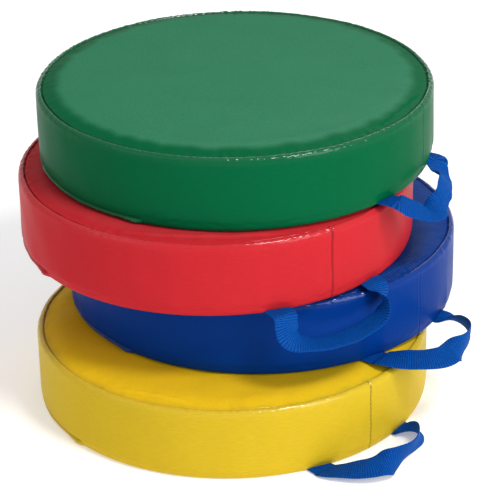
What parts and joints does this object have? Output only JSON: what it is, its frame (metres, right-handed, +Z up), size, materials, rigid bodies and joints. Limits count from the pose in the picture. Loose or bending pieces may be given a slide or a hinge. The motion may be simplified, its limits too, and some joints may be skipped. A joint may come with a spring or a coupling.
{
  "type": "floor cushion stack",
  "caption": "Round, flat foam floor cushions in wipe-clean vinyl, stacked loosely, each with a sewn webbing carrying handle and a hidden zip.",
  "frame": {"origin": "centre of the bottom (yellow) cushion's flat underside, where the stack rests", "axes": "+Z up through the stack; -Y towards the viewer who sees all four handles at the right-hand side, +X to that viewer's right"},
  "size_m": [0.4368, 0.4506, 0.3057],
  "materials": {
    "foam": "open-cell upholstery foam, matte",
    "vinyl_yellow": "vinyl-coated cloth, semi-gloss, fine woven emboss",
    "vinyl_blue": "vinyl-coated cloth, semi-gloss, fine woven emboss",
    "vinyl_red": "vinyl-coated cloth, semi-gloss, fine woven emboss",
    "vinyl_green": "vinyl-coated cloth, semi-gloss, fine mottled grain",
    "webbing": "ribbed nylon webbing, slight sheen",
    "thread": "matte",
    "zip_tape": "woven tape, matte",
    "zip_teeth": "nylon coil",
    "zip_slider": "satin"
  },
  "bodies": {
    "yellow_cushion": {"yellow_foam_core": "foam", "yellow_top_panel": "vinyl_yellow", "yellow_side_band": "vinyl_yellow", "yellow_bottom_panel": "vinyl_yellow", "yellow_top_seam_thread": "thread", "yellow_bottom_seam_thread": "thread", "yellow_zip_flap": "vinyl_yellow", "yellow_zip_tape_lower": "zip_tape", "yellow_zip_tape_upper": "zip_tape", "yellow_zip_teeth_lower": "zip_teeth", "yellow_zip_teeth_upper": "zip_teeth", "yellow_strap_end_left": "webbing", "yellow_strap_end_right": "webbing"},
    "yellow_handle": {"yellow_handle_loop": "webbing"},
    "yellow_slider": {"yellow_zip_slider": "zip_slider"},
    "blue_cushion": {"blue_foam_core": "foam", "blue_top_panel": "vinyl_blue", "blue_side_band": "vinyl_blue", "blue_bottom_panel": "vinyl_blue", "blue_top_seam_thread": "thread", "blue_bottom_seam_thread": "thread", "blue_zip_flap": "vinyl_blue", "blue_zip_tape_lower": "zip_tape", "blue_zip_tape_upper": "zip_tape", "blue_zip_teeth_lower": "zip_teeth", "blue_zip_teeth_upper": "zip_teeth", "blue_strap_end_left": "webbing", "blue_strap_end_right": "webbing"},
    "blue_handle": {"blue_handle_loop": "webbing"},
    "blue_slider": {"blue_zip_slider": "zip_slider"},
    "red_cushion": {"red_foam_core": "foam", "red_top_panel": "vinyl_red", "red_side_band": "vinyl_red", "red_bottom_panel": "vinyl_red", "red_top_seam_thread": "thread", "red_bottom_seam_thread": "thread", "red_zip_flap": "vinyl_red", "red_zip_tape_lower": "zip_tape", "red_zip_tape_upper": "zip_tape", "red_zip_teeth_lower": "zip_teeth", "red_zip_teeth_upper": "zip_teeth", "red_strap_end_left": "webbing", "red_strap_end_right": "webbing"},
    "red_handle": {"red_handle_loop": "webbing"},
    "red_slider": {"red_zip_slider": "zip_slider"},
    "green_cushion": {"green_foam_core": "foam", "green_top_panel": "vinyl_green", "green_side_band": "vinyl_green", "green_bottom_panel": "vinyl_green", "green_top_seam_thread": "thread", "green_bottom_seam_thread": "thread", "green_zip_flap": "vinyl_green", "green_zip_tape_lower": "zip_tape", "green_zip_tape_upper": "zip_tape", "green_zip_teeth_lower": "zip_teeth", "green_zip_teeth_upper": "zip_teeth", "green_strap_end_left": "webbing", "green_strap_end_right": "webbing"},
    "green_handle": {"green_handle_loop": "webbing"},
    "green_slider": {"green_zip_slider": "zip_slider"}
  },
  "joints": [
    {"name": "yellow_handle_swing", "type": "hinge", "parent": "yellow_cushion", "child": "yellow_handle", "pos_m": [0.12276, -0.14172, 0.0018], "axis": [-0.7559, -0.6547, 0], "range_deg": [0, 48]},
    {"name": "yellow_zip_run", "type": "hinge", "parent": "yellow_cushion", "child": "yellow_slider", "pos_m": [0, 0, 0.0102], "axis": [0, 0, -1], "range_deg": [0, 172]},
    {"name": "blue_lift", "type": "slide", "parent": "yellow_cushion", "child": "blue_cushion", "axis": [0, 0, 1], "range_m": [0, 0.09]},
    {"name": "blue_handle_swing", "type": "hinge", "parent": "blue_cushion", "child": "blue_handle", "pos_m": [0.17191, -0.06301, 0.0783], "axis": [-0.6561, -0.7547, 0], "range_deg": [0, 58]},
    {"name": "blue_zip_run", "type": "hinge", "parent": "blue_cushion", "child": "blue_slider", "pos_m": [0.0304, 0.06, 0.0867], "axis": [0, 0, -1], "range_deg": [0, 172]},
    {"name": "red_lift", "type": "slide", "parent": "blue_cushion", "child": "red_cushion", "axis": [0, 0, 1], "range_m": [0, 0.09]},
    {"name": "red_handle_swing", "type": "hinge", "parent": "red_cushion", "child": "red_handle", "pos_m": [0.08972, -0.12415, 0.1548], "axis": [-0.8387, -0.5446, 0], "range_deg": [0, 100]},
    {"name": "red_zip_run", "type": "hinge", "parent": "red_cushion", "child": "red_slider", "pos_m": [-0.0124, 0.0331, 0.1632], "axis": [0, 0, -1], "range_deg": [0, 172]},
    {"name": "green_lift", "type": "slide", "parent": "red_cushion", "child": "green_cushion", "axis": [0, 0, 1], "range_m": [0, 0.09]},
    {"name": "green_handle_swing", "type": "hinge", "parent": "green_cushion", "child": "green_handle", "pos_m": [0.17466, -0.03402, 0.2313], "axis": [-0.454, -0.891, 0], "range_deg": [0, 70]},
    {"name": "green_zip_run", "type": "hinge", "parent": "green_cushion", "child": "green_slider", "pos_m": [0.0076, 0.0511, 0.2397], "axis": [0, 0, -1], "range_deg": [0, 172]}
  ]
}
